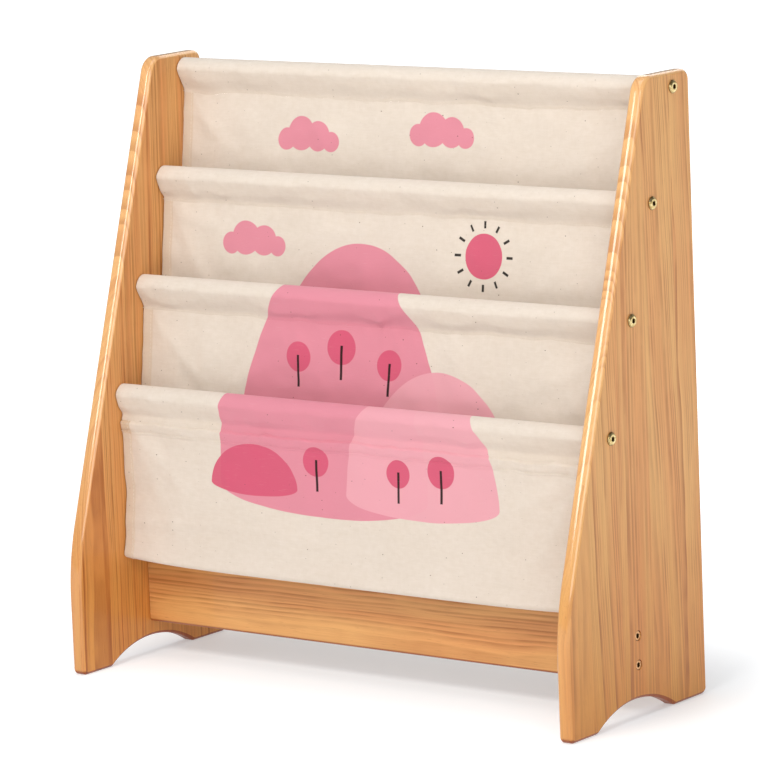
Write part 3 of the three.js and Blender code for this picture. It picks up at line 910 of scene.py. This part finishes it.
def cloth(name, lines, front_swell, rear_swell, printed, layers):
    """A closed sheet about a middle line of (depth, height) points at each station across.

    The first skin is on the line's right as it is followed, where right is forwards going down.
    printed says where each skin takes the print, and the next argument how much painted shade tints
    each point tan, where cloth lies doubled at hems, laps and casing tails.
    Gives the piece, the points of its two skins and its length laid flat.
    """
    count, points = lines.shape[:2]
    along = np.gradient(lines, axis=1)
    along /= np.linalg.norm(along, axis=2, keepdims=True)
    facing = np.stack([along[..., 1], -along[..., 0]], axis=2)
    edge_taper = 0.3 * MM * (1 - smooth(FROM_EDGE, 0, 0.9 * MM))[:, None]
    skins = [
        lines + facing * (CLOTH / 2 + front_swell - edge_taper)[..., None],
        lines - facing * (CLOTH / 2 + rear_swell - edge_taper)[..., None],
    ]
    x = np.broadcast_to(ACROSS[:, None, None], (count, points, 1))
    skins = [np.concatenate([x, skin], axis=2) for skin in skins]

    a = np.arange(count * points).reshape(count, points)
    b = a + count * points
    quads = [
        np.stack([a[:-1, :-1], a[:-1, 1:], a[1:, 1:], a[1:, :-1]], axis=2),
        np.stack([b[:-1, :-1], b[1:, :-1], b[1:, 1:], b[:-1, 1:]], axis=2),
        np.stack([a[:-1, 0], a[1:, 0], b[1:, 0], b[:-1, 0]], axis=1),
        np.stack([a[:-1, -1], b[:-1, -1], b[1:, -1], a[1:, -1]], axis=1),
        np.stack([a[0, :-1], b[0, :-1], b[0, 1:], a[0, 1:]], axis=1),
        np.stack([a[-1, :-1], a[-1, 1:], b[-1, 1:], b[-1, :-1]], axis=1),
    ]
    faces = np.concatenate([quad.reshape(-1, 4) for quad in quads])
    corners = np.concatenate([skin.reshape(-1, 3) for skin in skins])
    mesh = bpy.data.meshes.new(name)
    mesh.from_pydata(corners.tolist(), [], faces.tolist())

    length = run_along(lines)[count // 2]
    flat = np.stack([x[..., 0], np.broadcast_to(length, (count, points))], axis=2).reshape(-1, 2)
    layer = mesh.uv_layers.new(name="cloth")
    layer.data.foreach_set("uv", np.concatenate([flat, flat])[faces.ravel()].ravel())
    for title, skin_values in (("printed", printed), ("layers", [layers] * 2)):
        attribute = mesh.attributes.new(title, "FLOAT", "POINT")
        attribute.data.foreach_set("value", np.concatenate([v.ravel() for v in skin_values]))
    mesh.shade_smooth()
    mesh.set_sharp_from_angle(angle=math.radians(75))
    return link(name, mesh, CANVAS), skins, length[-1]


def casing(tier, stitches):
    """The canvas sewn round one rod: over the top and down to its seam, both layers."""
    rod = RODS[tier]
    is_last = tier == LAST_TIER
    half = TAIL_HALF - CLOTH / 2
    neck = CASING_TAIL - SEAM_HEIGHT
    lean = math.acos(CASING_MIDDLE_RADIUS / neck)
    turns = np.linspace(lean - math.pi / 2, 1.5 * math.pi - lean, 44)
    round_rod = np.stack([np.cos(turns), np.sin(turns)], axis=1) * CASING_MIDDLE_RADIUS
    rear_tail = np.array([[half, -CASING_TAIL], [half, -neck]])
    if is_last:
        rear_tail = np.vstack([[half, -CASING_TAIL - FRONT_FLAP], rear_tail])
    rear_wall = np.linspace(rear_tail[-1], round_rod[0], 12)[1:-1]
    half_line = np.vstack([rear_tail, rear_wall])
    line = np.vstack([half_line, round_rod, half_line[::-1] * [-1, 1]])

    seam_y, seam_z = seam(tier)
    hang = smooth(-line[:, 1], 2 * MM, CASING_TAIL)
    lines = np.broadcast_to(line, (len(ACROSS), *line.shape)).copy()
    lines[..., 0] += rod.y + hang * (seam_y - rod.y)
    lines[..., 1] += rod.z + hang * (seam_z - rod.z + CASING_TAIL)

    x = np.broadcast_to(ACROSS[:, None], lines.shape[:2])
    below = np.broadcast_to(-line[:, 1], lines.shape[:2])
    droop = SLEEVE_DROOP + DROOP_WANDER * wander(ACROSS, 46 * MM, tier * 4.7 + 60)[:, None]
    belly = smooth(below, -9 * MM, 4 * MM) * smooth(below, neck - 0.5 * MM, droop)
    front = np.where(line[:, 0] < 0, -1.0, 1.0)
    slack = 0.5 + 0.5 * crumple(x, below, (66, 40), tier * 3.7)
    pleats = crumple(x, below, (26, 30), tier * 8.3 + 5)
    puckers = crumple(x, below, (10, 50), tier * 2.9 + 9) * smooth(below, 12 * MM, neck)
    stand = SLEEVE_BELLY + SLEEVE_SLACK * slack + SLEEVE_PLEATS * pleats + SLEEVE_PUCKERS * puckers
    lines[..., 0] += front * belly * stand
    if is_last:
        lines[..., 0] -= lap_stand(rod.z - lines[..., 1]) * (front < 0)
    swell = np.zeros_like(x)
    shows = [np.broadcast_to((line[:, 0] < 3 * MM) * 1.0, x.shape), swell]
    # Painted shade: the lower part of a casing, where it turns under its rod, is tinted darker and
    # warmer.
    under_shade = 0.2 * smooth(below, 1 * MM, 9 * MM)
    piece, _, length = cloth(f"canvas_casing_{tier}", lines, swell, swell, shows, under_shade)
    stand_for(piece, "canvas", f"sling_casing_{tier}")

    seams = [("seam_behind", 1, THREAD), ("seam", -1, PRINTED_THREAD)]
    for place, side, thread in seams[:1] if is_last else seams:
        depth = seam_y + side * (TAIL_HALF + 0.1 * MM)
        row = np.hstack([ACROSS[:, None], depth, seam_z + SEAM_HEIGHT / 2])
        stitching(f"{place}_{tier}", [row], stitches, tier, thread)


def pocket_lines(number):
    """A pocket's middle line at each station: down the back wall, round the fold and up.

    The second list has -1 for its points on the back wall, 0 on the fold and 1 on the front.
    """
    lower = RODS[number + 1]
    is_front = number == LAST_POCKET
    across = ACROSS[:, None] / CLOTH_HALF_WIDTH
    lift = CORNER_LIFT * np.abs(across) ** CORNER_SHARPNESS
    ripple = WALL_RIPPLE * np.cos(RIPPLE_COUNT * math.pi * across + number - 1)
    upper_y, upper_z = seam(number)
    lower_y, lower_z = seam(number + 1)
    layer = (CLOTH + LAYER_GAP) / 2

    fold_y = np.full_like(lift, lower.y - FOLD_FORWARD)
    fold_z = lower.z - POCKET_DROP + FOLD_RADIUS + CLOTH / 2 + lift
    top_y, top_z = upper_y - layer, upper_z - SEAM_GAP
    if is_front:
        front_y = lower_y - TAIL_HALF - LAYER_GAP - CLOTH / 2 - HEM_SWELL
        front_z = lower_z - FRONT_LAP_DROP
    else:
        front_y, front_z = lower_y + layer, lower_z - SEAM_GAP

    down = np.linspace(0, 1, 60)[:-1]
    sag = np.sin(math.pi * down)
    wall_y = top_y + (fold_y + FOLD_RADIUS - top_y) * down + (BACK_WALL_BOW + ripple) * sag
    wall_z = top_z + (fold_z - top_z) * down
    turn = np.linspace(0, -math.pi, 17)[:-1]
    bend_y = fold_y + FOLD_RADIUS * np.cos(turn)
    bend_z = fold_z - FOLD_RADIUS * np.abs(np.sin(turn)) ** FOLD_PINCH
    height = front_z - fold_z
    up = np.linspace(0, 1, 52) ** FLARE_CROWDING
    if is_front:
        lap_rows = 1 - LAP_ROWS / height.mean()
        up = np.concatenate([up[up < lap_rows[0]], lap_rows])
    foot_y = fold_y - FOLD_RADIUS + FRONT_FLARE
    flare = FRONT_FLARE * np.exp(-height * up / FLARE_HEIGHT)
    rise_y = foot_y + (front_y - foot_y) * up - flare + ripple * np.sin(math.pi * up)
    rise_z = fold_z + height * up
    runs = (wall_y, bend_y, rise_y), (wall_z, bend_z, rise_z)
    walls = np.repeat([-1, 0, 1], [down.size, turn.size, up.size])
    return np.stack([np.hstack(run) for run in runs], axis=2), walls


def creases(x, fall, number, is_front_wall):
    """How far a wall's surface stands forward in soft folds. fall is the drop below its top."""
    seed = number * 13.7 + 50 * is_front_wall
    folds = WALL_FOLDS * crumple(x, fall, (74, 60), seed) * smooth(fall, 0, 25 * MM)
    small = SMALL_CREASES * crumple(x, fall, (24, 22), seed + 3)
    gathers = TOP_GATHERS * crumple(x, fall, (11, 80), seed + 7)
    gathers = gathers * (1 - smooth(fall, 0, 24 * MM)) * smooth(fall, 0, 3 * MM)
    pulls = np.zeros_like(x)
    for place, (edge, slope, height) in enumerate(CORNER_PULLS):
        slope += 0.35 * math.sin(2.3 * number + 1.7 * place)
        height *= 1 + 0.5 * math.sin(3.1 * number + 2.1 * place)
        inward = CLOTH_HALF_WIDTH - edge * x - PULL_INSET
        off_line = (fall - 8 * MM - slope * inward) / math.hypot(1, slope)
        fade = smooth(inward, 0, 16 * MM) * smooth(inward, 110 * MM, 36 * MM)
        pulls += height * MM * np.exp(-(off_line / PULL_HALF_WIDTH) ** 2) * fade
    if is_front_wall:
        level = FRONT_CREASE_DROP + 7 * MM * np.sin(x / (64 * MM))
        level = level + 9 * MM * np.sin(x / (151 * MM) + 1)
        line = np.exp(-((fall - level) / FRONT_CREASE_HALF_WIDTH) ** 2)
        pulls += FRONT_CREASE * line * smooth(x, 190 * MM, -60 * MM)
    return folds + small + gathers + pulls * smooth(fall, 135 * MM, 96 * MM)


def side_hems(fade):
    """1 over the turned side hems and 0 between them, with an edge that fades over a little."""
    return smooth(FROM_EDGE, SIDE_HEM + 0.5 * MM, SIDE_HEM - fade)[:, None]


def groove(distance, half_width):
    """1 along a seam, where its thread draws the cloth in, and 0 beside it."""
    return np.exp(-(distance / half_width) ** 2)


def pocket(number, stitches):
    """One book pocket: its back wall, the fold and its front wall, hemmed at both sides."""
    is_front = number == LAST_POCKET
    lines, walls = pocket_lines(number)
    x = np.broadcast_to(ACROSS[:, None], lines.shape[:2])
    for wall, top in ((-1, lines[:, :1, 1]), (1, lines[:, -1:, 1])):
        fall = np.maximum(top - lines[..., 1], 0)
        calm = smooth(lines[..., 1] - lines[..., 1].min(), FOLD_RADIUS, 45 * MM)
        if wall > 0 and is_front:
            calm = np.maximum(calm, 0.25)
        folds = creases(x, fall, number, wall > 0) * calm
        lines[..., 0] -= np.where(walls == wall, folds, 0)

    length = run_along(lines)
    to_end = length[:, -1:] - length
    hem = side_hems(1.5 * MM)
    tugs = 0.5 + 0.5 * crumple(x, length, (60, 8), number + 31)
    drawn = groove(FROM_EDGE - SIDE_HEM + 1.2 * MM, 1.4 * MM)[:, None] * tugs
    front_swell = 0.25 * MM * hem - 0.4 * MM * drawn
    rear_swell = HEM_SWELL * hem - 0.5 * MM * drawn
    hem_shade = side_hems(0.5 * MM)
    lap = np.zeros_like(x)
    if is_front:
        pucker = 0.5 + 0.5 * crumple(x, to_end, (9, 30), 77)
        lap = smooth(to_end, LAP_HEM + 0.8 * MM, LAP_HEM - 0.5 * MM)
        lip = smooth(to_end, 0, 2.6 * MM) * np.clip(1.25 - to_end / LAP_HEM, 0, 1) * lap
        drawn = groove(to_end - LAP_SEAM, 1.5 * MM) * (1 + 0.4 * hem)
        rear_swell = rear_swell + LAP_LIP * lip * (0.85 + 0.3 * pucker) + 0.3 * MM * lap
        rear_swell = rear_swell - (0.4 * MM + 0.6 * MM * pucker) * drawn
        front_swell = front_swell + 0.2 * MM * lap
    is_printed = walls == -1, (walls == 1) & is_front
    shows = [np.broadcast_to(side * 1.0, x.shape) for side in is_printed]
    # Painted shade: tan over the turned side hems and the lap, where the cloth lies doubled.
    layers = hem_shade + lap * (0.05 + 0.9 * hem_shade)
    piece, skins, flat_length = cloth(
        f"canvas_pocket_{number}", lines, front_swell, rear_swell, shows, layers,
    )
    stand_for(piece, "canvas", f"sling_pocket_{number}")

    hem_rows = []
    for edge in (-1, 1):
        station = int(np.argmin(np.abs(ACROSS - edge * (CLOTH_HALF_WIDTH - HEM_SEAM))))
        hem_rows += [skin[station] for skin in skins]
    sewn = [stitching(f"side_hem_seams_{number}", hem_rows, stitches, 10 + number, THREAD)]
    if is_front:
        lap_row = np.array([
            [np.interp(LAP_SEAM, to_end[place, ::-1], line[::-1, axis]) for axis in range(3)]
            for place, line in enumerate(skins[1])
        ])
        sewn.append(stitching("lap_seam", [lap_row], stitches, 20, PRINTED_THREAD))
        flat_length += LAP_HEM


# Stitching

def stitch_tree():
    """Rows of thread stitches along a mesh's edges, one on each step of the pitch."""
    tree = bpy.data.node_groups.new("stitch_rows", "GeometryNodeTree")
    for title, kind, default in (
        ("Rows", "Geometry", None),
        ("Pitch", "Float", STITCH_PITCH),
        ("Stitch length", "Float", STITCH_LENGTH),
        ("Thread radius", "Float", THREAD_RADIUS),
        ("Seed", "Int", 5),
        ("Thread", "Material", None),
    ):
        entry = tree.interface.new_socket(title, in_out="INPUT", socket_type="NodeSocket" + kind)
        if default is not None:
            entry.default_value = default
    tree.interface.new_socket("Stitches", in_out="OUTPUT", socket_type="NodeSocketGeometry")

    def add(kind, settings=None, output=0, **inputs):
        """Adds a node, with values or links for its inputs by name, and gives one output."""
        made = tree.nodes.new(kind)
        for key, value in (settings or {}).items():
            setattr(made, key, value)
        for title, source in inputs.items():
            socket = next(s for s in made.inputs if s.name.replace(" ", "") == title and s.enabled)
            if isinstance(source, bpy.types.NodeSocket):
                tree.links.new(source, socket)
            else:
                socket.default_value = source
        return made.outputs[output] if made.outputs else None

    start = tree.nodes.new("NodeGroupInput").outputs
    row = add("GeometryNodeMeshToCurve", Mesh=start["Rows"])
    row = add("GeometryNodeResampleCurve", {"mode": "LENGTH"}, Curve=row, Length=start["Pitch"])
    heading = add("GeometryNodeInputTangent")
    turned = add("FunctionNodeAlignRotationToVector", {"axis": "Z"}, Vector=heading)
    ball = add("GeometryNodeMeshUVSphere", Segments=6, Rings=4, Radius=1.0)
    radius = start["Thread radius"]
    half_length = add("ShaderNodeMath", {"operation": "MULTIPLY"}, Value=start["Stitch length"])
    half_length.node.inputs[1].default_value = 0.5
    size = add("ShaderNodeCombineXYZ", X=radius, Y=radius, Z=half_length)
    stitch = add("GeometryNodeTransform", Geometry=ball, Scale=size)
    least, most = STITCH_UNEVENNESS
    uneven = add("FunctionNodeRandomValue", None, 1, Min=least, Max=most, Seed=start["Seed"])
    sewn = add(
        "GeometryNodeInstanceOnPoints", Points=row, Instance=stitch, Rotation=turned, Scale=uneven,
    )
    real = add("GeometryNodeRealizeInstances", Geometry=sewn)
    soft = add("GeometryNodeSetShadeSmooth", Geometry=real)
    done = add("GeometryNodeSetMaterial", Geometry=soft, Material=start["Thread"])
    add("NodeGroupOutput", Stitches=done)
    return tree


def stitching(name, rows, tree, seed, thread):
    """Sews the rows of one piece of canvas as one mesh."""
    edges = []
    first = 0
    for row in rows:
        edges += [(place, place + 1) for place in range(first, first + len(row) - 1)]
        first += len(row)
    mesh = bpy.data.meshes.new(name)
    mesh.from_pydata(np.vstack(rows).tolist(), edges, [])
    piece = link(name, mesh)
    sewing = piece.modifiers.new("stitch_rows", "NODES")
    sewing.node_group = tree
    inputs = {item.name: item.identifier for item in tree.interface.items_tree}
    sewing[inputs["Seed"]] = seed
    sewing[inputs["Thread"]] = thread
    stand_for(settle(piece), "canvas")
    return piece


# The shelf

for side_name, side_sign in SIDES.items():
    stand_for(side_panel(side_name, side_sign), "pine", f"side_panel_{side_name}")
stand_for(rail(), "pine", "bottom_rail")
fasteners()

STITCHES = stitch_tree()
for tier_number in TIERS:
    casing(tier_number, STITCHES)
for pocket_number in POCKETS:
    pocket(pocket_number, STITCHES)

for node_name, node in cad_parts.items():
    is_rod = node_name.startswith("rod_") and "bolt" not in node_name
    node.data.materials.clear()
    node.data.materials.append(ROD_PINE if is_rod else ZINC)


# Studio

FLOOR_SIZE = 30
NEAR_GLOW = 0.31
LIT_GLOW = 0.54
FAR_GLOW = 0.85
BACK_GLOW = 0.25
LIT_DISTANCES = (30 * MM, 250 * MM)
FAR_DISTANCES = (0.5, 3.5)
BACK_DISTANCES = (0.25, 0.65)
BACK_SPREAD = 0.8
SHADE_HALF_WIDTH = 210 * MM
SHADE_BACK = 110 * MM
LAMP_AIM = Vector((0, 0, 0.3))
LAMPS = (  # azimuth, elevation, distance, width, height, watts and tint
    ("overhead", 12, 82, 2.4, 2.0, 1.6, 22, (0.78, 0.89, 1)),
    ("front_box", 4, 45, 3.2, 1.6, 1.0, 53, (1, 0.95, 0.88)),
    ("left_strip", -32, 20.8, 8.0, 0.85, 1.15, 39, (1, 1, 1)),
    ("right_box", 49, 17, 3.0, 1.1, 1.3, 18.5, (1, 1, 1)),
    ("back_box", 196, 32, 3.0, 2.4, 1.4, 22, (1, 1, 1)),
)
WORLD_GLOW = 0.22


def studio_floor():
    """A pale floor that glows a little, like a lit studio sweep, and least under the shelf."""
    build = bmesh.new()
    bmesh.ops.create_grid(build, x_segments=1, y_segments=1, size=FLOOR_SIZE)
    mesh = bpy.data.meshes.new("floor")
    build.to_mesh(mesh)
    build.free()
    finish = Finish("pale_floor")
    x, y, _ = finish.here()
    aside = (x.math("ABSOLUTE") - SHADE_HALF_WIDTH).math("MAXIMUM", 0)
    away = (aside ** 2 + (y - SHADE_BACK) ** 2) ** 0.5
    behind = (y + BACK_SPREAD * x.math("ABSOLUTE")).step(*BACK_DISTANCES)
    glow = NEAR_GLOW + (LIT_GLOW - NEAR_GLOW) * away.step(*LIT_DISTANCES)
    glow = glow + (FAR_GLOW - LIT_GLOW) * away.step(*FAR_DISTANCES) + BACK_GLOW * behind
    floor = link("floor", mesh, finish.shade({
        "Base Color": colour("cdcfd1"),
        "Roughness": 0.8,
        "Specular IOR Level": 0.1,
        "Emission Color": finish.vector(glow, glow, glow),
        "Emission Strength": 1.0,
    }))


def softbox(name, azimuth, elevation, distance, width, height, watts, tint):
    """A soft lamp aimed at the shelf. azimuth runs from the front round to the right."""
    turn, rise = math.radians(azimuth), math.radians(elevation)
    out = math.cos(rise)
    way = Vector((math.sin(turn) * out, -math.cos(turn) * out, math.sin(rise)))
    data = bpy.data.lights.new(name, "AREA")
    data.shape = "RECTANGLE"
    data.size = width
    data.size_y = height
    data.energy = watts
    data.color = tint
    lamp = bpy.data.objects.new(name, data)
    lamp.rotation_euler = way.to_track_quat("Z", "Y").to_euler()
    lamp.location = LAMP_AIM + way * distance
    bpy.context.scene.collection.objects.link(lamp)


studio_floor()
for lamp_settings in LAMPS:
    softbox(*lamp_settings)

world = bpy.data.worlds.new("studio")
world.use_nodes = True
backdrop = world.node_tree.nodes["Background"].inputs
backdrop["Color"].default_value = (1, 1, 1, 1)
backdrop["Strength"].default_value = WORLD_GLOW
bpy.context.scene.world = world
bpy.context.scene.view_settings.view_transform = "Standard"
